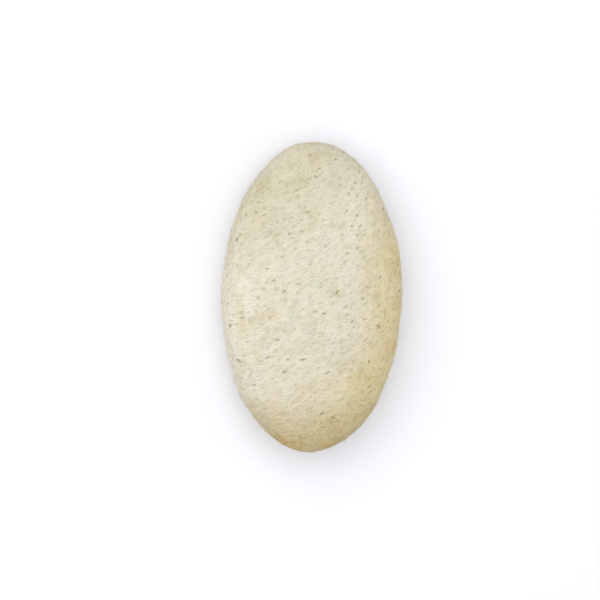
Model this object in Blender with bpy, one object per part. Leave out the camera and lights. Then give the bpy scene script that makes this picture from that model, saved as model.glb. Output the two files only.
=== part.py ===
"""A natural loofah sponge: the dried fibre skeleton of one luffa fruit, pressed to an oval pad.

It grew as one piece, so it is one solid. The pad lies on its back with its long axis along Y. Its
whole skin is a raised net of strands, and inside each mesh of the net the skin sinks into a pore.
The pores stand further apart the way the strands run, so they are drawn out in that direction.
Units are metres, +Z is up, and the origin is the middle of the footprint.
"""

import math
import random

import bmesh
import bpy
import numpy as np
from mathutils import Vector, noise

# Driving dimensions of the pad
LENGTH = 0.100
WIDTH = 0.058
THICKNESS = 0.028
ROUNDING = 2.8  # power of the rounded section: 2 is an ellipse, and higher is squarer
SEAT_DEPTH = 0.0005  # how far the belly is pressed flat where the pad lies

# Unevenness that the fruit grew with
SWELL = 0.0006
SWELL_SIZE = 0.014
SWELL_OFFSET = Vector((3.1, 7.4, 1.9))  # picks the stretch of noise that shapes this pad

# The raised net
STRAND_ANGLE = math.radians(25)  # of the strands, from the pad's width towards its far right end
PORE_SPACING = 0.00146  # least distance between pores, across the strands
PORE_STRETCH = 2.2  # spacing along the strands over spacing across them
PORE_DEPTH = 0.00115
PORE_DEPTH_SPREAD = 0.4  # share by which pores differ in depth
STRAND_HEIGHT_SPREAD = 0.00012  # how far strands stand proud of the pad, or lie low
BARE_SPOT = 0.17  # the flat spot in the middle of the belly has no pores, as a share of the outline
CANDIDATES = 40000  # places on the pad that are tried for a pore
SEED = 11

# Finish of the dried fibre
FIBRE_COLOUR = (0.69, 0.61, 0.44, 1.0)
FIBRE_ROUGHNESS = 0.9

HALF = Vector((WIDTH / 2, LENGTH / 2, THICKNESS / 2 + SEAT_DEPTH / 2))
GOLDEN_ANGLE = math.pi * (3 - math.sqrt(5))


def clear_scene():
    for obj in list(bpy.data.objects):
        bpy.data.objects.remove(obj, do_unlink=True)


def even_directions(count):
    """Unit directions spread evenly over a ball, on a golden spiral."""
    turn = np.arange(count) * GOLDEN_ANGLE
    height = 1 - (2 * np.arange(count) + 1) / count
    radius = np.sqrt(1 - height**2)
    return np.column_stack((radius * np.cos(turn), radius * np.sin(turn), height))


def pad_surface(directions):
    """Where each direction meets the smooth oval pad, centred on the origin."""
    outline = np.hypot(directions[:, 0], directions[:, 1]) ** ROUNDING
    reach = (outline + np.abs(directions[:, 2]) ** ROUNDING) ** (-1 / ROUNDING)
    return directions * reach[:, None] * np.array(HALF)


def squeeze_along_strands(points):
    """The points in a space where pores are equally spaced every way."""
    sideways = np.array((-math.sin(STRAND_ANGLE), math.cos(STRAND_ANGLE), 0.0))
    across = np.outer(points @ sideways, sideways)
    return across + (points - across) / PORE_STRETCH


def scatter_pores():
    """Middles of the pores, none nearer than the spacing, as (squeezed points, points on the pad)."""
    order = list(range(CANDIDATES))
    random.Random(SEED).shuffle(order)
    surface = pad_surface(even_directions(CANDIDATES))[order]
    squeezed = squeeze_along_strands(surface)
    chosen = np.full(squeezed.shape, np.inf)
    kept = []
    for index, point in enumerate(squeezed):
        nearest = ((chosen[: len(kept)] - point) ** 2).sum(axis=1)
        if nearest.size and nearest.min() < PORE_SPACING**2:
            continue
        chosen[len(kept)] = point
        kept.append(index)
    return squeezed[kept], surface[kept]


def grown_point(point, lift=0.0):
    """A point of the smooth pad, moved by the fruit's uneven growth and by its pressed belly."""
    swell = SWELL * noise.noise(point / SWELL_SIZE + SWELL_OFFSET)
    point = point + (swell + lift) * point.normalized()
    point.z = max(point.z + HALF.z - SEAT_DEPTH, 0.0)
    return point


def on_smooth_pad(point):
    """The point moved straight out from the middle, to the smooth pad."""
    direction = np.array([(point.x / HALF.x, point.y / HALF.y, point.z / HALF.z)])
    return Vector(pad_surface(direction / np.linalg.norm(direction))[0])


def lace_net(mesh):
    """Strands round every pore. Returns the middles of the pores, which still lie flush.

    Neighbouring middles are joined by edges first, in the squeezed space, so that the edges keep to
    near neighbours there. Each triangle between three middles gets a knot, and each edge is turned
    to run from knot to knot, between two middles, where a strand lies.
    """
    chance = random.Random(SEED)
    squeezed, surface = scatter_pores()
    for point in squeezed:
        mesh.verts.new(point)
    bmesh.ops.convex_hull(mesh, input=mesh.verts[:])
    bmesh.ops.beautify_fill(mesh, faces=mesh.faces[:], edges=mesh.edges[:])
    mesh.verts.index_update()
    for vertex in mesh.verts:
        vertex.co = Vector(surface[vertex.index])
    links = mesh.edges[:]
    middles = mesh.verts[:]
    knots = bmesh.ops.poke(mesh, faces=mesh.faces[:])["verts"]
    bmesh.ops.rotate_edges(mesh, edges=links, use_ccw=False)
    for knot in knots:
        lift = STRAND_HEIGHT_SPREAD * chance.uniform(-1, 1)
        knot.co = grown_point(on_smooth_pad(knot.co), lift)
    for middle in middles:
        middle.co = grown_point(middle.co)
    bmesh.ops.recalc_face_normals(mesh, faces=mesh.faces[:])
    mesh.normal_update()
    return middles


def on_bare_spot(point):
    """Whether a point of the skin is in the middle of the belly, on which the pad lies."""
    return math.hypot(point.x / HALF.x, point.y / HALF.y) < BARE_SPOT and point.z < SEAT_DEPTH


def sink_pores(middles):
    """Sinks the middle of each pore below the strands round it."""
    chance = random.Random(SEED)
    for middle in middles:
        depth = PORE_DEPTH * (1 + PORE_DEPTH_SPREAD * chance.uniform(-1, 1))
        if not on_bare_spot(middle.co):
            middle.co -= depth * middle.normal


def fit_to_size(mesh):
    """Brings the grown pad to its driving dimensions, centred over the origin and lying on it."""
    low = [min(vertex.co[axis] for vertex in mesh.verts) for axis in range(3)]
    high = [max(vertex.co[axis] for vertex in mesh.verts) for axis in range(3)]
    for vertex in mesh.verts:
        for axis, size in ((0, WIDTH), (1, LENGTH)):
            middle = (low[axis] + high[axis]) / 2
            vertex.co[axis] = (vertex.co[axis] - middle) * size / (high[axis] - low[axis])
        vertex.co.z = vertex.co.z * THICKNESS / high[2]


def dried_fibre():
    """The matt cream of the dried fibre."""
    material = bpy.data.materials.new("dried_fibre")
    material.use_nodes = True
    shader = material.node_tree.nodes["Principled BSDF"]
    shader.inputs["Base Color"].default_value = FIBRE_COLOUR
    shader.inputs["Roughness"].default_value = FIBRE_ROUGHNESS
    shader.inputs["Metallic"].default_value = 0.0
    return material


def build_loofah_sponge():
    """The whole sponge as one object."""
    net = bmesh.new()
    sink_pores(lace_net(net))
    fit_to_size(net)
    data = bpy.data.meshes.new("loofah_sponge")
    net.to_mesh(data)
    net.free()
    data.materials.append(dried_fibre())
    sponge = bpy.data.objects.new("loofah_sponge", data)
    bpy.context.scene.collection.objects.link(sponge)
    return sponge


def main():
    clear_scene()
    build_loofah_sponge()


main()
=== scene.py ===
"""A natural loofah sponge that lies on a pale floor in soft studio light.

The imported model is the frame. Its one node, the sponge, is replaced by what the real thing is made
of: a packed mat of fibre, and coats of single fibres laid over it the way they run on the real
sponge, parted round the pores of the frame's node. Lengths are metres, angles are radians.
"""

import logging
import math
from dataclasses import dataclass, field
from enum import Enum
from functools import cached_property

import bmesh
import bpy
import numpy as np
from mathutils import Matrix, Quaternion, Vector, kdtree, noise


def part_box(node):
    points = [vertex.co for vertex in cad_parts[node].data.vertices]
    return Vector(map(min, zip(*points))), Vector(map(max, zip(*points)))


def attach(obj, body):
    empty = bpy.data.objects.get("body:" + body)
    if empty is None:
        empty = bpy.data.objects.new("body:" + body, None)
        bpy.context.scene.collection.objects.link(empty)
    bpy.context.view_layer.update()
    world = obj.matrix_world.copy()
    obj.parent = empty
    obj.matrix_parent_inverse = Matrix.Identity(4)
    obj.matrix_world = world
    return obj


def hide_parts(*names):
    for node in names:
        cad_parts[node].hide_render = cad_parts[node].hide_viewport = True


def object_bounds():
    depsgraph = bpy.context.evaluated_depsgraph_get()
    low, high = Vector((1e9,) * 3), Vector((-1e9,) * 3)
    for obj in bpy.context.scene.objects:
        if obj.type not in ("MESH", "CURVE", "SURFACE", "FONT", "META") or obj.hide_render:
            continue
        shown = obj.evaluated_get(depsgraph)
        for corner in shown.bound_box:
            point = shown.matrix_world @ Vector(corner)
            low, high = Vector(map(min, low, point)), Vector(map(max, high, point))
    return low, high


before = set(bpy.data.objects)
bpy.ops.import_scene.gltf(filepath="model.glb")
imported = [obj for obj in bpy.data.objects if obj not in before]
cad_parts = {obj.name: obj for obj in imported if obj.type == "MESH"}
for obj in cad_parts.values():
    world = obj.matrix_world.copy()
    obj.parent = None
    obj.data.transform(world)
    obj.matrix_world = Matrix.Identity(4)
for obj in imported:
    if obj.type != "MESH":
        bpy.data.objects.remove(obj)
CAD_LOW, CAD_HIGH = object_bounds()

NODE = "loofah_sponge"
BODY = "root"
BAKE_MAP = "OFBake"  # the UV map in which each fibre has a small tile of its own
SHARP_ANGLE = math.radians(115)  # a fibre is rounded, and sharp only along its underside
SAME_POINT = 1e-6  # corners of the node's triangles that are closer are one point
SHOULDER = 0.55  # rise of the outward direction at which the face and the back turn into the rim
BED = 0.0001  # how far the middle line of the lowest fibres stays above the floor
UP = np.array((0, 0, 1))

# The photo's frame, and the sponge in it, in pixels
FRAME_PIXELS = 600
SPONGE_PIXELS = (312, 298)
SPONGE_PIXEL_LENGTH = 311

Colour = tuple[float, float, float]
Socket = bpy.types.NodeSocket

log = logging.getLogger("loofah")


def unit(vectors: np.ndarray) -> np.ndarray:
    """The rows of an array, each brought to length 1.

    Args:
        vectors: One vector in each row.

    Returns:
        An array of the same shape.
    """
    return vectors / np.linalg.norm(vectors, axis=-1, keepdims=True)


def along_pad(vectors: np.ndarray, outward: np.ndarray) -> np.ndarray:
    """Lays vectors flat on the pad.

    Args:
        vectors: One vector in each row.
        outward: The pad's outward direction at each.

    Returns:
        Unit vectors along the pad.
    """
    return unit(vectors - (vectors * outward).sum(axis=-1, keepdims=True) * outward)


def smooth_step(values: np.ndarray, start: float, end: float) -> np.ndarray:
    """A soft rise from 0 at start to 1 at end.

    Args:
        values: Where to read the rise.
        start: Value at which it leaves 0.
        end: Value at which it reaches 1.

    Returns:
        The rise at each value.
    """
    share = np.clip((values - start) / (end - start), 0, 1)
    return share * share * (3 - 2 * share)


def tree_of(points: np.ndarray) -> kdtree.KDTree:
    """A search tree over points.

    Args:
        points: Places, one in each row.

    Returns:
        The tree, in which a point's number is its row.
    """
    tree = kdtree.KDTree(len(points))
    for index, point in enumerate(points):
        tree.insert(point, index)
    tree.balance()
    return tree


def read(items: bpy.types.bpy_prop_collection, name: str, size: int) -> np.ndarray:
    """Reads a value of every vertex, face or the like of a mesh.

    Args:
        items: The vertices, faces or the like.
        name: The value's name.
        size: How many numbers it has.

    Returns:
        The values, one in each row.
    """
    values = np.empty(len(items) * size, np.float32)
    items.foreach_get(name, values)
    return values.reshape(-1, size)


def move(mesh: bpy.types.Mesh, points: np.ndarray) -> None:
    """Moves the vertices of a mesh to places given one after another."""
    mesh.vertices.foreach_set("co", points.astype(np.float32).ravel())
    mesh.update()


def mark(mesh: bpy.types.Mesh, name: str, values: np.ndarray) -> None:
    """Gives each vertex of a mesh a number that its material reads."""
    attribute = mesh.attributes.new(name, "FLOAT", "POINT")
    attribute.data.foreach_set("value", values.astype(np.float32).ravel())


@dataclass
class PadForm:
    """The smooth oval pad under the fibres, with the unevenness that the fruit grew with.

    Attributes:
        rounding: Power of the rounded section: 2 is an ellipse, and higher is squarer.
        swell: How far the pad swells or sinks.
        swell_size: Size of a swelling.
        swell_offset: Picks the stretch of noise that shapes this pad.
        seat: How far the belly is pressed flat where the pad lies.
        half: Half the pad's width, length and height before it was pressed.
        centre: Its middle before it was pressed.
        floor: Height of what it lies on.
    """

    rounding: float = 2.8
    swell: float = 0.0006
    swell_size: float = 0.014
    swell_offset: Vector = field(default_factory=lambda: Vector((3.1, 7.4, 1.9)))
    seat: float = 0.0005

    def __post_init__(self) -> None:
        """Takes the size and place from the frame's node, and adds what its flat seat leaves out."""
        low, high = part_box(NODE)
        self.half = np.array((high - low) / 2) + np.array((0, 0, self.seat / 2))
        self.centre = np.array((high + low) / 2) - np.array((0, 0, self.seat / 2))
        self.floor = low.z

    def share(self, points: np.ndarray) -> np.ndarray:
        """How far out each point lies along the pad's three half axes.

        Args:
            points: Places, one in each row.

        Returns:
            For each axis 0 at the pad's middle, and 1 or -1 at its ends.
        """
        return (points - self.centre) / self.half

    def settle(self, points: np.ndarray) -> np.ndarray:
        """Moves points straight out from the pad's middle, or in towards it, on to the pad.

        Args:
            points: Places, one in each row.

        Returns:
            The places on the pad.
        """
        share = self.share(points)
        outline = np.hypot(share[:, 0], share[:, 1]) ** self.rounding
        section = outline + np.abs(share[:, 2]) ** self.rounding
        smooth = (points - self.centre) * (section ** (-1 / self.rounding))[:, None]
        places = smooth / self.swell_size + np.array(self.swell_offset)
        growth = np.array([noise.noise(place) for place in places.tolist()])
        return self.centre + smooth + self.swell * growth[:, None] * unit(smooth)

    def outward(self, points: np.ndarray) -> np.ndarray:
        """The pad's outward direction.

        Args:
            points: Places on the pad, one in each row.

        Returns:
            A unit vector for each place.
        """
        share = self.share(points)
        outline = np.hypot(share[:, 0], share[:, 1]) ** (self.rounding - 2)
        level = np.abs(share[:, 2]) ** (self.rounding - 2)
        slope = share * np.column_stack((outline, outline, level)) / self.half
        return unit(slope)


@dataclass
class Grain:
    """Which way the fibres run: combed on the left of the face, and ever more tangled to its right.
    They follow the pad round its rim to the back.

    Attributes:
        form: The pad that they lie on.
        middle: Their angle from the pad's width in the middle of the face.
        fan_across: How much more they turn towards the right edge.
        fan_along: How much more they turn towards the far end.
        spread_left: How far single fibres stray from the grain on the left.
        spread_right: The same on the right.
        spread_behind: How much further they stray round the rim and on the back.
        to_right: Shares of the half width between which the left's spread becomes the right's.
        to_back: Rises of the outward direction between which the spread behind comes in.
        strays: Share of the fibres that run any way.
        least_turn: Keeps the grain defined straight below the pad's middle.
    """

    form: PadForm
    middle: float = math.radians(31)
    fan_across: float = math.radians(7)
    fan_along: float = math.radians(2)
    spread_left: float = math.radians(16)
    spread_right: float = math.radians(52)
    spread_behind: float = math.radians(35)
    to_right: tuple[float, float] = (-0.3, 0.9)
    to_back: tuple[float, float] = (0.75, 0.1)
    strays: float = 0.18
    least_turn: float = 0.01

    def headings(self, points: np.ndarray, chance: np.random.Generator | None) -> np.ndarray:
        """The direction of a fibre at each point.

        Args:
            points: Places on the pad, one in each row.
            chance: Draws how single fibres stray, or None for the plain grain.

        Returns:
            Unit vectors along the pad.
        """
        share = self.form.share(points)
        outward = self.form.outward(points)
        angle = self.middle + self.fan_across * share[:, 0] + self.fan_along * share[:, 1]
        if chance is not None:
            on_right = smooth_step(share[:, 0], *self.to_right)
            spread = self.spread_left + (self.spread_right - self.spread_left) * on_right
            spread += self.spread_behind * smooth_step(outward[:, 2], *self.to_back)
            angle = angle + spread * chance.standard_normal(len(points))
            stray = chance.random(len(points)) < self.strays
            angle = np.where(stray, chance.uniform(0, math.tau, len(points)), angle)
        # Each level heading turns as the skin does from straight up to its outward direction
        level = np.column_stack((np.cos(angle), np.sin(angle), np.zeros(len(points))))
        turn = (level * outward).sum(axis=1) / np.maximum(1 + outward[:, 2], self.least_turn)
        return along_pad(level - turn[:, None] * (outward + UP), outward)


@dataclass
class Pores:
    """The pores of the frame's node. Each is a dimple in the fibres, and some stand open: these show
    as dark specks and slits.

    Attributes:
        form: The pad that they are in.
        grain: The fibres' run, along which the pores are drawn out.
        open_share: Share of the pores that stand open, with no fibre across them.
        scatter: How far an opening lies from the middle of its pore in the frame's node.
        widths: Least and greatest half width of an open pore.
        lengths: Least and greatest half length, over the half width.
        rarity: Power that makes the wide pores rare.
        turn: How far a pore is turned from the fibres' run, as a slope.
        faintest: Depth of the shallowest open pore, as a share of the deepest.
        reach: How far from an open pore the fibres still give way.
        parting: How far past a pore's ends they part, as a multiple of its length.
        dimple: Half width and half length of a dimple.
        staining: Darkness from which a pore has stained the fibres round it.
        stain_reach: How far such a stain spreads.
        seed: Picks which pores stand open.
        middles: Each pore's middle.
        open: Whether each stands open.
        heading: The way along each.
        side: The way across each.
        half_width: Of each.
        half_length: Of each.
        darkness: How deep and dark each is, as a share of the deepest.
        tree: Finds the nearest pore.
        stains: Finds the nearest pore that has stained the fibres.
    """

    form: PadForm
    grain: Grain
    open_share: float = 0.9
    scatter: float = 0.0003
    widths: tuple[float, float] = (0.00012, 0.00029)
    lengths: tuple[float, float] = (1.0, 3.2)
    rarity: float = 5.5
    turn: float = 0.45
    faintest: float = 0.3
    reach: float = 0.0009
    parting: float = 1.4
    dimple: tuple[float, float] = (0.00045, 0.00075)
    staining: float = 0.88
    stain_reach: float = 0.0015
    seed: int = 5

    def __post_init__(self) -> None:
        """Picks the open pores, and each pore's size and turn."""
        chance = np.random.default_rng(self.seed)
        middles = self.node_middles()
        middles = self.form.settle(middles + chance.normal(0, self.scatter, middles.shape))
        self.middles = middles
        self.open = chance.random(len(middles)) < self.open_share
        outward = self.form.outward(middles)
        straight = self.grain.headings(middles, None)
        turn = self.turn * chance.standard_normal(len(middles))[:, None]
        self.heading = along_pad(straight + turn * np.cross(outward, straight), outward)
        self.side = np.cross(outward, self.heading)
        least, greatest = self.widths
        size = chance.random(len(middles)) ** self.rarity
        self.half_width = least + (greatest - least) * size
        self.darkness = self.faintest + (1 - self.faintest) * size
        self.half_length = self.half_width * chance.uniform(*self.lengths, len(middles))
        self.tree = tree_of(middles)
        self.stains = tree_of(middles[self.open & (self.darkness > self.staining)])

    @staticmethod
    def node_middles() -> np.ndarray:
        """The lowest point of each pore of the frame's node.

        Returns:
            The points at which every edge of the node is folded inwards.
        """
        node = bmesh.new()
        node.from_mesh(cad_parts[NODE].data)
        bmesh.ops.remove_doubles(node, verts=node.verts, dist=SAME_POINT)
        middles = [
            vertex.co[:]
            for vertex in node.verts
            if all(edge.calc_face_angle_signed(0) < 0 for edge in vertex.link_edges)
        ]
        node.free()
        return np.array(middles)

    def nearest(self, points: np.ndarray) -> tuple[np.ndarray, np.ndarray, np.ndarray]:
        """Where points lie beside the pore that is nearest to each.

        Args:
            points: Places, one in each row.

        Returns:
            The pore's number, and how far the point lies along and beside it.
        """
        number = np.array([self.tree.find(point)[1] for point in points.tolist()])
        away = points - self.middles[number]
        along = (away * self.heading[number]).sum(axis=1)
        beside = (away * self.side[number]).sum(axis=1)
        return number, along, beside

    def part(self, points: np.ndarray) -> np.ndarray:
        """Pushes the points of fibres aside, round the pores.

        Args:
            points: Places on the pad, one in each row.

        Returns:
            The places beside the pores.
        """
        number, along, beside = self.nearest(points)
        lens = np.sqrt(np.clip(1 - (along / (self.parting * self.half_length[number])) ** 2, 0, 1))
        gap = self.half_width[number] * lens * self.open[number]
        distance = np.abs(beside)
        pushed = np.where(distance < self.reach, gap * (1 - distance / self.reach), 0)
        return points + (np.sign(beside) * pushed)[:, None] * self.side[number]

    def crossed(self, points: np.ndarray, clearance: float) -> np.ndarray:
        """Whether points lie over an open pore.

        Args:
            points: Places on the pad, one in each row.
            clearance: How far from the pore's edge a point has to stay.

        Returns:
            True for each point that doesn't.
        """
        number, along, beside = self.nearest(points)
        across = beside / (self.half_width[number] + clearance)
        down = along / (self.half_length[number] + clearance)
        return self.open[number] & (np.hypot(across, down) < 1)

    def pit(self, points: np.ndarray, middle: float, rim: float) -> np.ndarray:
        """How deep points lie in an open pore.

        Args:
            points: Places on the pad, one in each row.
            middle: Share of the pore's size up to which it is deepest.
            rim: Share of the pore's size at which it begins.

        Returns:
            1 in the middle of the deepest pore and 0 outside the pores.
        """
        number, along, beside = self.nearest(points)
        out = np.hypot(beside / self.half_width[number], along / self.half_length[number])
        return self.open[number] * self.darkness[number] * smooth_step(out, rim, middle)

    def dip(self, points: np.ndarray) -> np.ndarray:
        """How deep points lie in a pore's dimple.

        Args:
            points: Places on the pad, one in each row.

        Returns:
            1 in the middle of a dimple and 0 far from it.
        """
        _, along, beside = self.nearest(points)
        width, length = self.dimple
        return np.exp(-((beside / width) ** 2) - (along / length) ** 2)

    def stain(self, points: np.ndarray) -> np.ndarray:
        """How stained points are.

        Args:
            points: Places on the pad, one in each row.

        Returns:
            1 in the middle of a stain and 0 far from one.
        """
        distance = np.array([self.stains.find(point)[2] for point in points.tolist()])
        return np.exp(-((distance / self.stain_reach) ** 2))


class Region(Enum):
    """The parts of the pad that have coats of their own, with the least and greatest rise of the
    outward direction in each."""

    FACE = (SHOULDER, math.inf)
    RIM = (-SHOULDER, SHOULDER)
    BACK = (-math.inf, -SHOULDER)

    def holds(self, outward: np.ndarray) -> np.ndarray:
        """Whether each outward direction belongs to this region."""
        least, greatest = self.value
        return (outward[:, 2] >= least) & (outward[:, 2] < greatest)


@dataclass(frozen=True)
class Fade:
    """A tint that comes in softly as a measure changes.

    Attributes:
        start: The measure where the tint begins.
        end: The measure where it is full.
        colour: What a full tint multiplies the colour under it by.
    """

    start: float
    end: float
    colour: Colour = (1.0, 1.0, 1.0)


@dataclass(frozen=True)
class Patches:
    """A tint in soft patches.

    Attributes:
        size: Size of a patch.
        seed: Picks the stretch of noise.
        fade: The tint, which comes in with the noise.
        strength: How much of the tint a full patch has.
    """

    size: float
    seed: float
    fade: Fade
    strength: float = 1.0


class TintGroup:
    """The colours of dried loofah, with some painted shade and light, as one node group, which every
    finish places with its own values.

    Places on the pad are shares of its half axes, so 1 is its right edge or its far end.

    Attributes:
        tree: The group.
        given: The sockets of what a finish and its mesh give.
        place: Socket of the place in metres.
        across: Socket of the place along the pad's width.
        along: Socket of the place along its length.
        out: Socket of the distance from its middle, which is 1 all round the outline.
    """

    NAME = "loofah_tint"
    COLOURS = ("Base", "Rim", "Pore")
    MARKS = ("Tone", "Depth", "Stain")  # given by the mesh's attributes of the same names
    DETAIL = 2.0  # of the noise in patches

    # Where the rim is yellower and darker, partly the sponge's own yellowing and partly painted shade:
    # towards the outline on one side, and at the near end
    RIM_SIDE = math.radians(-35)  # that side, from the pad's width
    RIM_ROUND = Fade(-0.3, 1.0)  # by the cosine of the angle from that side
    RIM_OUT = Fade(0.3, 0.88)
    RIM_NEAR = Fade(-0.5, -0.95)
    UNEVEN = Patches(0.012, 2.0, Fade(0.25, 0.75), 0.35)
    UNEVEN_LEAST = 0.8  # what is left of a tint between these patches

    # All over: green and olive patches, flecks, and paler and darker spots
    ALL_OVER = (
        Patches(0.011, 7.0, Fade(0.5, 0.72, (0.93, 1.0, 0.94)), 0.35),
        Patches(0.0055, 4.0, Fade(0.5, 0.7, (0.90, 0.88, 0.765)), 0.75),
        Patches(0.0011, 5.0, Fade(0.56, 0.7, (0.84, 0.82, 0.70)), 0.4),
        Patches(0.0032, 13.0, Fade(0.48, 0.66, (1.02, 1.0, 0.978))),
        Patches(0.0038, 17.0, Fade(0.48, 0.66, (0.965, 0.98, 0.97))),
    )

    # In their own places
    # Darker and more olive towards the far end: partly the sponge's own olive colour and partly
    # painted shade
    FAR_OLIVE_AND_SHADE = Fade(0.4, 1.0, (0.87, 0.862, 0.79))
    FAR_LEAN = -0.45  # brings the far end's tint and painted shade further down on the left
    ROSY = Patches(0.0075, 11.0, Fade(0.45, 0.66, (1.0, 0.91, 0.82)))
    ROSY_OUT = Fade(0.68, 0.95)
    # Painted shade: the near end is made darker
    NEAR_PAINTED_SHADE = Fade(-0.5, -0.92, (0.94, 0.93, 0.92))
    EDGE_PAINTED_LIGHT = Fade(0.6, 1.0, (1.08, 1.08, 1.10))  # painted light: the left and right edges made paler, against the shade where the pad turns away
    STAIN = Patches(0.002, 9.0, Fade(0.3, 0.7, (0.96, 0.93, 0.80)))

    # By the mesh's marks
    DARK = Fade(1.0, 0.0, (0.88, 0.875, 0.858))  # from the palest fibre to the darkest
    DARK_NEAR_PAINTED_SHADE = (0.84, 0.83, 0.81)  # painted shade: a second darkening for dark fibres at the near end
    RIM_PORE = (1.1, 0.85, 0.6)  # a tint for the rim's pores

    def __init__(self, form: PadForm) -> None:
        """Starts the group, and finds the place on the pad.

        Args:
            form: The pad, whose middle and half axes place the tints.
        """
        self.tree = bpy.data.node_groups.new(self.NAME, "ShaderNodeTree")
        for name in self.COLOURS:
            self.tree.interface.new_socket(name, in_out="INPUT", socket_type="NodeSocketColor")
        for name in self.MARKS:
            self.tree.interface.new_socket(name, in_out="INPUT", socket_type="NodeSocketFloat")
        self.tree.interface.new_socket("Color", in_out="OUTPUT", socket_type="NodeSocketColor")
        self.given = self.tree.nodes.new("NodeGroupInput").outputs

        self.place = self.tree.nodes.new("ShaderNodeTexCoord").outputs["Object"]
        centred = self.tree.nodes.new("ShaderNodeMapping")
        centred.vector_type = "TEXTURE"
        centred.inputs["Location"].default_value = Vector(form.centre)
        centred.inputs["Scale"].default_value = Vector(form.half)
        self.tree.links.new(self.place, centred.inputs["Vector"])
        split = self.tree.nodes.new("ShaderNodeSeparateXYZ")
        self.tree.links.new(centred.outputs["Vector"], split.inputs["Vector"])
        self.across, self.along = split.outputs[:2]
        squares = [self.calculate("MULTIPLY", axis, axis) for axis in (self.across, self.along)]
        self.out = self.calculate("SQRT", self.calculate("ADD", *squares))

    def calculate(self, operation: str, *terms: Socket | float) -> Socket:
        """A sum, product or the like.

        Args:
            operation: The name of a Math node's operation.
            *terms: Numbers or sockets.

        Returns:
            The socket that gives the result.
        """
        node = self.tree.nodes.new("ShaderNodeMath")
        node.operation = operation
        for socket, term in zip(node.inputs, terms):
            if isinstance(term, float):
                socket.default_value = term
            else:
                self.tree.links.new(term, socket)
        return node.outputs[0]

    def ramp(self, measure: Socket, fade: Fade) -> Socket:
        """How far a tint has come in.

        Args:
            measure: What it comes in with.
            fade: Where it begins and ends.

        Returns:
            The socket that gives a soft rise from 0 to 1.
        """
        ramp = self.tree.nodes.new("ShaderNodeMapRange")
        ramp.interpolation_type = "SMOOTHSTEP"
        ramp.inputs["From Min"].default_value = fade.start
        ramp.inputs["From Max"].default_value = fade.end
        self.tree.links.new(measure, ramp.inputs["Value"])
        return ramp.outputs["Result"]

    def spots(self, patches: Patches) -> Socket:
        """Where patches lie.

        Args:
            patches: What they are like.

        Returns:
            The socket that gives their strength in a patch and 0 between them.
        """
        spots = self.tree.nodes.new("ShaderNodeTexNoise")
        spots.noise_dimensions = "4D"
        spots.inputs["W"].default_value = patches.seed
        spots.inputs["Scale"].default_value = 1 / patches.size
        spots.inputs["Detail"].default_value = self.DETAIL
        self.tree.links.new(self.place, spots.inputs["Vector"])
        return self.calculate("MULTIPLY", self.ramp(spots.outputs[0], patches.fade), patches.strength)

    def mix(self, share: Socket, first: Socket, second: Socket | Colour, blend: str = "MIX") -> Socket:
        """Two colours, mixed.

        Args:
            share: The share of the second colour.
            first: The first colour.
            second: The second colour.
            blend: The name of the way in which they mix.

        Returns:
            The socket that gives the mixed colour.
        """
        node = self.tree.nodes.new("ShaderNodeMix")
        node.data_type = "RGBA"
        node.blend_type = blend
        below, above = [socket for socket in node.inputs if socket.type == "RGBA"]
        self.tree.links.new(share, node.inputs["Factor"])
        self.tree.links.new(first, below)
        if isinstance(second, tuple):
            above.default_value = (*second, 1.0)
        else:
            self.tree.links.new(second, above)
        return next(socket for socket in node.outputs if socket.type == "RGBA")

    def tint(self, colour: Socket, share: Socket, tint: Colour) -> Socket:
        """A colour with a share of a tint over it."""
        return self.mix(share, colour, tint, "MULTIPLY")

    def yellowing_and_shade(self) -> Socket:
        """Where the rim is yellower and darker: partly its own yellowing and partly painted shade.

        Returns:
            The socket that gives 1 where it has most and 0 on the face.
        """
        toward = self.calculate("MULTIPLY", self.along, math.sin(self.RIM_SIDE))
        toward = self.calculate("MULTIPLY_ADD", self.across, math.cos(self.RIM_SIDE), toward)
        side = self.ramp(self.calculate("DIVIDE", toward, self.out), self.RIM_ROUND)
        side = self.calculate("MULTIPLY", self.ramp(self.out, self.RIM_OUT), side)
        return self.calculate("MAXIMUM", self.ramp(self.along, self.RIM_NEAR), side)

    def build(self) -> bpy.types.NodeTree:
        """Builds the group.

        Returns:
            The group, with COLOURS and MARKS as its inputs and Color as its output.
        """
        uneven = self.calculate("ADD", self.spots(self.UNEVEN), self.UNEVEN_LEAST)
        # The rim's own yellowing together with its painted shade
        rim = self.calculate("MULTIPLY", self.yellowing_and_shade(), uneven)
        colour = self.mix(rim, self.given["Base"], self.given["Rim"])
        for patches in self.ALL_OVER:
            colour = self.tint(colour, self.spots(patches), patches.fade.colour)

        # The far end's olive tint and painted shade
        lean = self.calculate("MULTIPLY_ADD", self.across, self.FAR_LEAN, self.along)
        far = self.calculate("MULTIPLY", self.ramp(lean, self.FAR_OLIVE_AND_SHADE), uneven)
        colour = self.tint(colour, far, self.FAR_OLIVE_AND_SHADE.colour)
        outermost = self.calculate("MULTIPLY", self.ramp(self.out, self.ROSY_OUT), rim)
        rosy = self.calculate("MULTIPLY", self.spots(self.ROSY), outermost)
        colour = self.tint(colour, rosy, self.ROSY.fade.colour)
        # Painted shade at the near end
        near = self.ramp(self.along, self.NEAR_PAINTED_SHADE)
        colour = self.tint(colour, near, self.NEAR_PAINTED_SHADE.colour)
        # Painted light: paler left and right edges
        edge = self.ramp(self.calculate("ABSOLUTE", self.across), self.EDGE_PAINTED_LIGHT)
        colour = self.tint(colour, edge, self.EDGE_PAINTED_LIGHT.colour)
        stain = self.calculate("MULTIPLY", self.given["Stain"], self.spots(self.STAIN))
        colour = self.tint(colour, stain, self.STAIN.fade.colour)

        dark = self.ramp(self.given["Tone"], self.DARK)
        colour = self.tint(colour, dark, self.DARK.colour)
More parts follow.
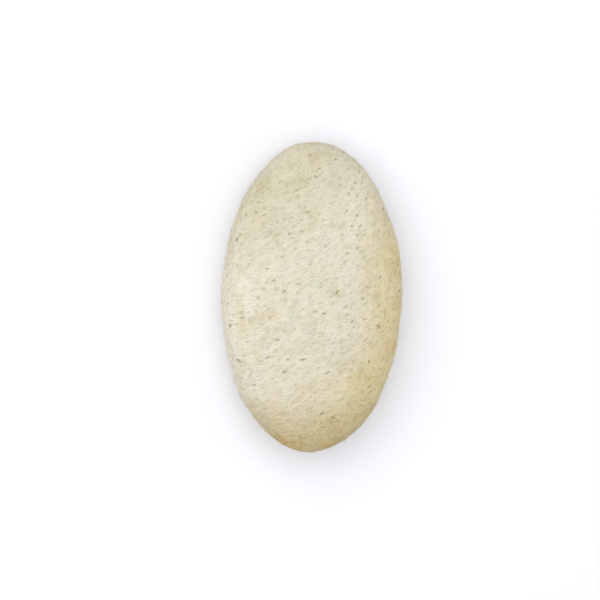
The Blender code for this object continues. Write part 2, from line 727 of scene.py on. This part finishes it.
        # More painted shade on the dark fibres at the near end
        colour = self.tint(colour, self.calculate("MULTIPLY", dark, near), self.DARK_NEAR_PAINTED_SHADE)
        # The dark colour of pores and dimples, partly painted shade
        pore = self.tint(self.given["Pore"], rim, self.RIM_PORE)
        colour = self.mix(self.given["Depth"], colour, pore)
        result = self.tree.nodes.new("NodeGroupOutput")
        self.tree.links.new(colour, result.inputs["Color"])
        return self.tree


@dataclass(frozen=True)
class Finish:
    """A matt dried plant fibre.

    Attributes:
        name: The material's name.
        base: Its colour on the face.
        rim: Its colour at the right and near rim: partly the sponge's own yellowing and partly painted
            shade.
        pore: Its colour in the depth of a pore: partly the darker fibre inside and partly painted
            shade of the hole.
        roughness: Of the fibre.
        specular: How much it shines.
        bump: Height of the fine ridges along a fibre, or of the felt of the mat.
        grain_size: Size of those ridges.
        grain_detail: How much finer they get within that size.
    """

    name: str
    base: Colour
    rim: Colour
    pore: Colour = (0.42, 0.385, 0.255)
    roughness: float = 0.85
    specular: float = 0.25
    bump: float = 0.00004
    grain_size: float = 0.0004
    grain_detail: float = 3.0

    def material(self, tint: bpy.types.NodeTree) -> bpy.types.Material:
        """Builds the material.

        Args:
            tint: The group with the colours of dried loofah.

        Returns:
            A material that reads the attributes tone, depth and stain of the mesh that wears it.
        """
        material = bpy.data.materials.new(self.name)
        material.use_nodes = True
        tree = material.node_tree
        shader = tree.nodes["Principled BSDF"]
        shader.inputs["Roughness"].default_value = self.roughness
        shader.inputs["Specular IOR Level"].default_value = self.specular

        colours = tree.nodes.new("ShaderNodeGroup")
        colours.node_tree = tint
        for name, colour in zip(TintGroup.COLOURS, (self.base, self.rim, self.pore)):
            colours.inputs[name].default_value = (*colour, 1.0)
        for name in TintGroup.MARKS:
            marks = tree.nodes.new("ShaderNodeAttribute")
            marks.attribute_name = name.lower()
            tree.links.new(marks.outputs["Fac"], colours.inputs[name])
        tree.links.new(colours.outputs["Color"], shader.inputs["Base Color"])

        place = tree.nodes.new("ShaderNodeTexCoord").outputs["Object"]
        ridges = tree.nodes.new("ShaderNodeTexNoise")
        ridges.inputs["Scale"].default_value = 1 / self.grain_size
        ridges.inputs["Detail"].default_value = self.grain_detail
        tree.links.new(place, ridges.inputs["Vector"])
        bump = tree.nodes.new("ShaderNodeBump")
        bump.inputs["Distance"].default_value = self.bump
        tree.links.new(ridges.outputs[0], bump.inputs["Height"])
        tree.links.new(bump.outputs["Normal"], shader.inputs["Normal"])
        return material


def add_piece(name: str, mesh: bpy.types.Mesh, material: bpy.types.Material) -> None:
    """Puts a finished mesh in the scene as a piece of the sponge.

    Args:
        name: The piece's name.
        mesh: Its mesh, already in place.
        material: What it wears.
    """
    mesh.name = name
    mesh.materials.clear()
    mesh.materials.append(material)
    mesh.shade_smooth()
    mesh.set_sharp_from_angle(angle=SHARP_ANGLE)
    piece = bpy.data.objects.new(name, mesh)
    bpy.context.scene.collection.objects.link(piece)
    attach(piece, BODY)
    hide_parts(NODE)
    log.info("%s: %d faces", name, len(mesh.polygons))


@dataclass
class FibreMat:
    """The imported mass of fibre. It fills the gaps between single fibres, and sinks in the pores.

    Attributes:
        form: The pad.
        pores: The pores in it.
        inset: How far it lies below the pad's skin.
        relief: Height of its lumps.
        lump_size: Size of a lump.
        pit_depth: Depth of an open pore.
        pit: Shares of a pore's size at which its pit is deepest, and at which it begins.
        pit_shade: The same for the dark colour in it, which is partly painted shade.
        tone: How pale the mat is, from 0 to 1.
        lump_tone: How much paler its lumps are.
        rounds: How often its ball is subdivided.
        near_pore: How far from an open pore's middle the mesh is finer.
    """

    form: PadForm
    pores: Pores
    inset: float = 0.00023
    relief: float = 0.00003
    lump_size: float = 0.0013
    pit_depth: float = 0.0004
    pit: tuple[float, float] = (0.5, 2.4)
    pit_shade: tuple[float, float] = (0.7, 1.7)
    tone: float = 0.45
    lump_tone: float = 0.3
    rounds: int = 7
    near_pore: float = 0.0005

    def lay_out(self) -> bpy.types.Mesh:
        """Makes the ball that is wrapped round the pad.

        Returns:
            A ball of radius 1, with smaller faces where the open pores will be.
        """
        ball = bmesh.new()
        bmesh.ops.create_icosphere(ball, subdivisions=self.rounds, radius=1.0)
        points = np.array([vertex.co for vertex in ball.verts])
        pad = self.form.settle(self.form.centre + points * self.form.half)
        number, along, beside = self.pores.nearest(pad)
        near = self.pores.open[number] & (np.hypot(along, beside) < self.near_pore)
        ball.verts.ensure_lookup_table()
        edges = {edge for index in np.flatnonzero(near) for edge in ball.verts[index].link_edges}
        bmesh.ops.subdivide_edges(ball, edges=list(edges), cuts=1, use_grid_fill=True)
        bmesh.ops.triangulate(ball, faces=ball.faces)
        mesh = bpy.data.meshes.new("mat")
        ball.to_mesh(mesh)
        ball.free()
        return mesh

    @cached_property
    def mesh(self) -> bpy.types.Mesh:
        """The mat's mesh.

        Returns:
            The mesh, with the attributes tone, depth and stain.
        """
        mesh = self.lay_out()
        ball = unit(read(mesh.vertices, "co", 3))
        pad = self.form.settle(self.form.centre + ball * self.form.half)
        lumps = np.array([noise.noise(place) for place in (pad / self.lump_size).tolist()])
        pits = self.pores.pit(pad, *self.pit)
        sunk = self.inset - self.relief * lumps + self.pit_depth * pits
        mark(mesh, "tone", self.tone + self.lump_tone * lumps)
        # Painted shade, in part: the pores' dark colour
        mark(mesh, "depth", self.pores.pit(pad, *self.pit_shade))
        mark(mesh, "stain", self.pores.stain(pad))
        pad -= sunk[:, None] * self.form.outward(pad)
        pad[:, 2] = np.maximum(pad[:, 2], self.form.floor + 2 * BED)
        move(mesh, pad)
        return mesh


@dataclass(frozen=True)
class Strand:
    """One straight fibre, from which a coat's bent ones are made. X and Y run across it in units of
    its half width and half height, and Z counts its rings.

    Attributes:
        rings: How many rings of points it has.
        sides: How many points there are in a ring.
    """

    rings: int = 6
    sides: int = 3

    MIDDLE = 0.5  # height in its tile of the map at which the way round a strand starts
    ROUND = 0.45  # height that the way round takes
    MARGIN = 0.1  # what is left free round the tile

    def copies(self, count: int) -> bpy.types.Mesh:
        """Makes a mesh of many strands, all in one place, each with a tile of the bake map.

        Args:
            count: How many strands.

        Returns:
            The mesh, in which a strand's points and corners follow the last one's.
        """
        tube = bmesh.new()
        length = self.rings - 1
        middle = Matrix.Translation((0, 0, length / 2))
        bmesh.ops.create_cone(
            tube, cap_ends=True, segments=self.sides, radius1=1, radius2=1, depth=length, matrix=middle
        )
        runs = [edge for edge in tube.edges if round(edge.verts[0].co.z) != round(edge.verts[1].co.z)]
        bmesh.ops.subdivide_edges(tube, edges=runs, cuts=self.rings - 2, use_grid_fill=True)
        layer = tube.loops.layers.uv.new(BAKE_MAP)
        for face in tube.faces:
            self.unroll(face, layer)
        mesh = bpy.data.meshes.new("strand")
        tube.to_mesh(mesh)
        tube.free()

        strand = bpy.data.objects.new("strand", mesh)
        bpy.context.scene.collection.objects.link(strand)
        repeat = strand.modifiers.new("repeat", "ARRAY")
        repeat.count = count
        repeat.use_relative_offset = False
        seen = strand.evaluated_get(bpy.context.evaluated_depsgraph_get())
        copies = bpy.data.meshes.new_from_object(seen)
        bpy.data.objects.remove(strand)
        bpy.data.meshes.remove(mesh)
        self.tile(copies, count)
        return copies

    def unroll(self, face: bmesh.types.BMFace, layer: bmesh.types.BMLayerItem) -> None:
        """Lays a face of the tube on the map: its length to the right, and its way round upwards.

        Args:
            face: The face.
            layer: The map's layer.
        """
        middle = face.calc_center_median()
        turn = math.atan2(middle.y, middle.x)
        for loop in face.loops:
            corner = loop.vert.co
            bend = (math.atan2(corner.y, corner.x) - turn + math.pi) % math.tau - math.pi
            around = self.MIDDLE + self.ROUND * (turn + bend) / math.tau
            loop[layer].uv = (corner.z / (self.rings - 1), around)

    def tile(self, mesh: bpy.types.Mesh, count: int) -> None:
        """Gives each strand of a mesh its own tile of the map.

        Args:
            mesh: The strands.
            count: How many there are.
        """
        across = math.ceil(math.sqrt(count))
        number = np.arange(count)
        corner = np.column_stack((number % across, number // across))[:, None, :]
        layer = mesh.uv_layers[BAKE_MAP].uv
        places = read(layer, "vector", 2).reshape(count, -1, 2)
        places = places * (1 - 2 * self.MARGIN) + self.MARGIN
        layer.foreach_set("vector", ((places + corner) / across).astype(np.float32).ravel())


@dataclass
class FibreCoat:
    """Single fibres laid over one part of the pad, as they lie in the outer coat.

    Attributes:
        name: The piece's name.
        region: The part of the pad where the fibres start.
        count: How many fibres.
        seed: Picks the fibres.
        depth: Least and greatest depth of a fibre's middle line below the pad's skin.
        lengths: Least and greatest length of a fibre.
        half_widths: Least and greatest half width of a fibre.
        flatness: A fibre's height over its width, because the pad was pressed.
        curl: How much a fibre turns, for each metre.
        wave: How far a fibre weaves up and down.
        wave_length: Length of one weave.
        dive: How much deeper its ends lie.
        lift: Least and greatest height to which its last end stands up.
        dimple_depth: How far it dips in a pore's dimple.
        dimple_shade: How much darker it is there, as painted shade.
        clearance: How far a fibre's middle line stays from the edge of an open pore.
        strand: The straight fibre from which they are made.
    """

    name: str
    region: Region
    count: int
    seed: int
    depth: tuple[float, float] = (0.00003, 0.0001)
    lengths: tuple[float, float] = (0.0024, 0.0056)
    half_widths: tuple[float, float] = (0.00014, 0.00027)
    flatness: float = 0.6
    curl: float = 65.0
    wave: float = 0.00004
    wave_length: float = 0.0045
    dive: float = 0.00025
    lift: tuple[float, float] = (0.0, 0.0)
    dimple_depth: float = 0.00008
    dimple_shade: float = 0.32
    clearance: float = 0.00015
    strand: Strand = Strand()

    SPARE = 1.7  # fibres drawn for each one that is kept
    SCATTER = 0.0003  # how far a fibre starts from the middle of a face of the mat
    END_POWER = 5  # how late along a fibre its ends dive and narrow
    TAPER = 0.7  # how much narrower its ends are, as a share of its width
    TONES = (1.6, 2.0)  # the two powers of the beta curve from dark fibres to pale ones

    @property
    def ends(self) -> np.ndarray:
        """How close each ring of a fibre is to an end: 1 at the ends and 0 in the middle."""
        return np.abs(2 * np.linspace(0, 1, self.strand.rings) - 1) ** self.END_POWER

    def starts(self, mat: FibreMat, chance: np.random.Generator) -> np.ndarray:
        """Places at which fibres start, evenly over the region.

        Args:
            mat: The mat, whose faces give even places.
            chance: Draws the places.

        Returns:
            More places than there are fibres.
        """
        middles = read(mat.mesh.polygons, "center", 3).astype(float)
        areas = read(mat.mesh.polygons, "area", 1).ravel()
        areas = areas * self.region.holds(mat.form.outward(middles))
        count = int(self.count * self.SPARE)
        picked = chance.choice(len(areas), size=count, p=areas / areas.sum())
        return mat.form.settle(middles[picked] + chance.normal(0, self.SCATTER, (count, 3)))

    def courses(self, mat: FibreMat, chance: np.random.Generator) -> tuple[np.ndarray, np.ndarray]:
        """Lets fibres run over the pad.

        Args:
            mat: The mat that they lie on.
            chance: Draws their starts, lengths and turns.

        Returns:
            For each fibre the places of its rings on the pad, and each fibre's length.
        """
        place = self.starts(mat, chance)
        length = chance.uniform(*self.lengths, len(place))
        stride = (length / (self.strand.rings - 1))[:, None]
        turn = (self.curl * chance.standard_normal(len(place)))[:, None] * stride
        heading = mat.pores.grain.headings(place, chance)
        rings = [place]
        for _ in range(self.strand.rings - 1):
            outward = mat.form.outward(place)
            heading = along_pad(heading + turn * np.cross(outward, heading), outward)
            place = mat.form.settle(place + stride * heading)
            rings.append(place)
        return np.stack(rings, axis=1), length

    def clear(self, pores: Pores, places: np.ndarray) -> tuple[np.ndarray, np.ndarray]:
        """Parts the fibres round the pores, and picks those that then cross no open one.

        Args:
            pores: What the fibres part round.
            places: The places of each fibre's rings.

        Returns:
            The new places, and the rows of as many fibres as the coat has.
        """
        places = pores.part(places.reshape(-1, 3)).reshape(places.shape)
        between = (places[:, 1:] + places[:, :-1]) / 2
        tested = np.concatenate((places, between), axis=1)
        blocked = pores.crossed(tested.reshape(-1, 3), self.clearance).reshape(len(places), -1)
        kept = np.flatnonzero(~blocked.any(axis=1))[: self.count]
        if len(kept) < self.count:
            raise ValueError(f"{self.name}: only {len(kept)} fibres clear the pores")
        return places, kept

    def heights(self, length: np.ndarray, dip: np.ndarray, chance: np.random.Generator) -> np.ndarray:
        """How high the fibres lie over the pad's skin, or how deep under it.

        Args:
            length: Each fibre's length.
            dip: How deep each of its rings lies in a dimple.
            chance: Draws how they weave, lie and stand up.

        Returns:
            For each fibre the height of its rings.
        """
        run = np.linspace(0, 1, self.strand.rings)
        phase = chance.uniform(0, 1, (self.count, 1)) + run * (length / self.wave_length)[:, None]
        height = self.wave * np.sin(math.tau * phase) - self.dive * self.ends
        height -= chance.uniform(*self.depth, (self.count, 1)) + self.dimple_depth * dip
        height += chance.uniform(*self.lift, (self.count, 1)) * run**3
        return height

    def grow(self, mat: FibreMat) -> bpy.types.Mesh:
        """Makes the coat's mesh.

        Args:
            mat: The mat that the coat lies on.

        Returns:
            The mesh, with the attributes depth, stain and tone, which is 0 for the darkest fibre
            and 1 for the palest.
        """
        chance = np.random.default_rng(self.seed)
        places, length = self.courses(mat, chance)
        places, kept = self.clear(mat.pores, places)
        places = places[kept]
        outward = mat.form.outward(places.reshape(-1, 3)).reshape(places.shape)
        side = np.cross(along_pad(np.gradient(places, axis=1), outward), outward)
        dip = mat.pores.dip(places.reshape(-1, 3)).reshape(self.count, -1)
        stain = mat.pores.stain(places.reshape(-1, 3)).reshape(self.count, -1)
        places += self.heights(length[kept], dip, chance)[:, :, None] * outward
        places[:, :, 2] = np.maximum(places[:, :, 2], mat.form.floor + BED)
        half_width = chance.uniform(*self.half_widths, (self.count, 1)) * (1 - self.TAPER * self.ends)

        mesh = self.strand.copies(self.count)
        straight = read(mesh.vertices, "co", 3).reshape(self.count, -1, 3)
        # The fibre and the ring to which each point of the straight strands belongs
        ring = (np.arange(self.count)[:, None], np.rint(straight[:, :, 2]).astype(int))
        wide = (straight[:, :, 0] * half_width[ring])[:, :, None]
        high = (straight[:, :, 1] * half_width[ring] * self.flatness)[:, :, None]
        points = places[ring] + wide * side[ring] + high * outward[ring]
        points[:, :, 2] = np.maximum(points[:, :, 2], mat.form.floor)
        mark(mesh, "tone", np.repeat(chance.beta(*self.TONES, self.count), points.shape[1]))
        # Painted shade in the dimples: the fibres turn towards the pores' dark colour
        mark(mesh, "depth", self.dimple_shade * dip[ring])
        mark(mesh, "stain", stain[ring])
        move(mesh, points)
        return mesh


@dataclass
class UnderCoat(FibreCoat):
    """Slightly thicker fibres, which show between those of the outer coat."""

    depth: tuple[float, float] = (0.00008, 0.00016)
    half_widths: tuple[float, float] = (0.00015, 0.00028)


@dataclass
class LooseEnds(FibreCoat):
    """Fine fibres with one end that stands off the pad."""

    depth: tuple[float, float] = (0.0, 0.0001)
    lengths: tuple[float, float] = (0.0025, 0.0060)
    half_widths: tuple[float, float] = (0.00007, 0.00012)
    flatness: float = 0.8
    curl: float = 160.0
    dive: float = 0.00012
    strand: Strand = Strand(rings=8)


@dataclass
class Sponge:
    """The whole sponge.

    Attributes:
        form: The pad under its fibres.
        mat_finish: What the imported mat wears.
        fibre_finish: What the single fibres wear.
        coats: The coats of fibre, from the inside out on each part of the pad.
    """

    form: PadForm = field(default_factory=PadForm)
    mat_finish: Finish = Finish(
        "packed_fibre", base=(0.69, 0.643, 0.52), rim=(0.63, 0.53, 0.305), bump=0.0001
    )
    fibre_finish: Finish = Finish(
        "dried_fibre", base=(0.752, 0.704, 0.586), rim=(0.714, 0.616, 0.362)
    )
    coats: tuple[FibreCoat, ...] = (
        UnderCoat("face_under_fibres", Region.FACE, 5600, 21),
        FibreCoat("face_outer_fibres", Region.FACE, 5800, 22),
        UnderCoat("rim_under_fibres", Region.RIM, 4200, 23),
        FibreCoat("rim_outer_fibres", Region.RIM, 4700, 24),
        UnderCoat("back_under_fibres", Region.BACK, 2600, 25),
        FibreCoat("back_outer_fibres", Region.BACK, 3900, 26),
        LooseEnds("face_loose_ends", Region.FACE, 80, 27, lift=(0.0001, 0.0005)),
        LooseEnds("rim_loose_ends", Region.RIM, 220, 28, lift=(0.0002, 0.0011)),
        LooseEnds("back_loose_ends", Region.BACK, 110, 29, lift=(0.0002, 0.0008)),
    )

    def build(self) -> None:
        """Builds and dresses the mat, then each coat."""
        pores = Pores(self.form, Grain(self.form))
        log.info("%d pores, %d open", len(pores.open), pores.open.sum())
        tint = TintGroup(self.form).build()
        mat = FibreMat(self.form, pores)
        add_piece("fibre_mat", mat.mesh, self.mat_finish.material(tint))
        fibre = self.fibre_finish.material(tint)
        for coat in self.coats:
            add_piece(coat.name, coat.grow(mat), fibre)


@dataclass
class Studio:
    """The pale floor, the soft light and the camera.

    Attributes:
        floor_size: Side of the square floor.
        floor_colour: Of the floor.
        floor_roughness: Of the floor.
        camera_left: How far the camera stands to the left of straight above, as an angle.
        camera_far: How far it stands towards the far end, as an angle.
        roll: How far the pad leans to the right in the photo.
        lens: Focal length of the camera, in millimetres.
        nearest: Distance from the camera at which it starts to see.
        sky_colour: Colour of the light from all round.
        sky_strength: Strength of that light.
        key_power: Power of the lamp, in watts.
        key_size: Side of the square lamp.
        key_place: Where the lamp hangs.
    """

    floor_size: float = 6.0
    floor_colour: Colour = (0.86, 0.86, 0.90)
    floor_roughness: float = 0.9
    camera_left: float = math.radians(12)
    camera_far: float = math.radians(9)
    roll: float = math.radians(0.9)
    lens: float = 200.0
    nearest: float = 0.05
    sky_colour: Colour = (0.97, 0.98, 1.0)
    sky_strength: float = 0.82
    key_power: float = 6.3
    key_size: float = 1.0
    key_place: tuple[float, float, float] = (-0.34, 0.34, 0.88)

    def floor(self) -> None:
        """Lays the floor that the pad rests on."""
        sheet = bmesh.new()
        bmesh.ops.create_grid(sheet, x_segments=1, y_segments=1, size=self.floor_size / 2)
        mesh = bpy.data.meshes.new("floor")
        sheet.to_mesh(mesh)
        sheet.free()
        material = bpy.data.materials.new("pale_floor")
        material.use_nodes = True
        shader = material.node_tree.nodes["Principled BSDF"]
        shader.inputs["Base Color"].default_value = (*self.floor_colour, 1.0)
        shader.inputs["Roughness"].default_value = self.floor_roughness
        mesh.materials.append(material)
        floor = bpy.data.objects.new("floor", mesh)
        bpy.context.scene.collection.objects.link(floor)

    def light(self, target: Vector) -> None:
        """Sets the light from all round, and hangs the lamp.

        Args:
            target: What the lamp is turned to.
        """
        world = bpy.data.worlds.new("studio")
        world.use_nodes = True
        sky = world.node_tree.nodes["Background"]
        sky.inputs["Color"].default_value = (*self.sky_colour, 1.0)
        sky.inputs["Strength"].default_value = self.sky_strength
        bpy.context.scene.world = world
        lamp = bpy.data.lights.new("key", "AREA")
        lamp.energy = self.key_power
        lamp.size = self.key_size
        key = bpy.data.objects.new("key", lamp)
        key.location = Vector(self.key_place)
        key.rotation_mode = "QUATERNION"
        key.rotation_quaternion = (key.location - target).to_track_quat("Z", "Y")
        bpy.context.scene.collection.objects.link(key)

    def camera(self, target: Vector, length: float) -> None:
        """Sets up the camera, so that the pad has the photo's size and place in the frame.

        Args:
            target: The middle of the pad.
            length: The pad's length.
        """
        data = bpy.data.cameras.new("camera")
        data.lens = self.lens
        data.clip_start = self.nearest
        camera = bpy.data.objects.new("camera", data)
        bpy.context.scene.collection.objects.link(camera)
        bpy.context.scene.camera = camera
        back = Vector((-math.tan(self.camera_left), math.tan(self.camera_far), 1)).normalized()
        right = Vector((0, 1, 0)).cross(back).normalized()
        level = Matrix((right, back.cross(right), back)).transposed().to_quaternion()
        turned = level @ Quaternion((0, 0, 1), self.roll)
        pixel = length / SPONGE_PIXEL_LENGTH
        middle = FRAME_PIXELS / 2
        aside = Vector((middle - SPONGE_PIXELS[0], SPONGE_PIXELS[1] - middle, 0)) * pixel
        distance = FRAME_PIXELS * pixel * self.lens / data.sensor_width
        camera.rotation_mode = "QUATERNION"
        camera.rotation_quaternion = turned
        camera.location = target + turned @ aside + distance * back

    def build(self) -> None:
        """Builds the whole studio round the pad."""
        bpy.context.scene.view_settings.view_transform = "Standard"
        target = (CAD_LOW + CAD_HIGH) / 2
        self.floor()
        self.light(target)
        self.camera(target, CAD_HIGH.y - CAD_LOW.y)


def main() -> None:
    """Builds the sponge and the studio."""
    logging.basicConfig(level=logging.INFO, format="%(message)s")
    Sponge().build()
    Studio().build()


if __name__ == "__main__":
    main()
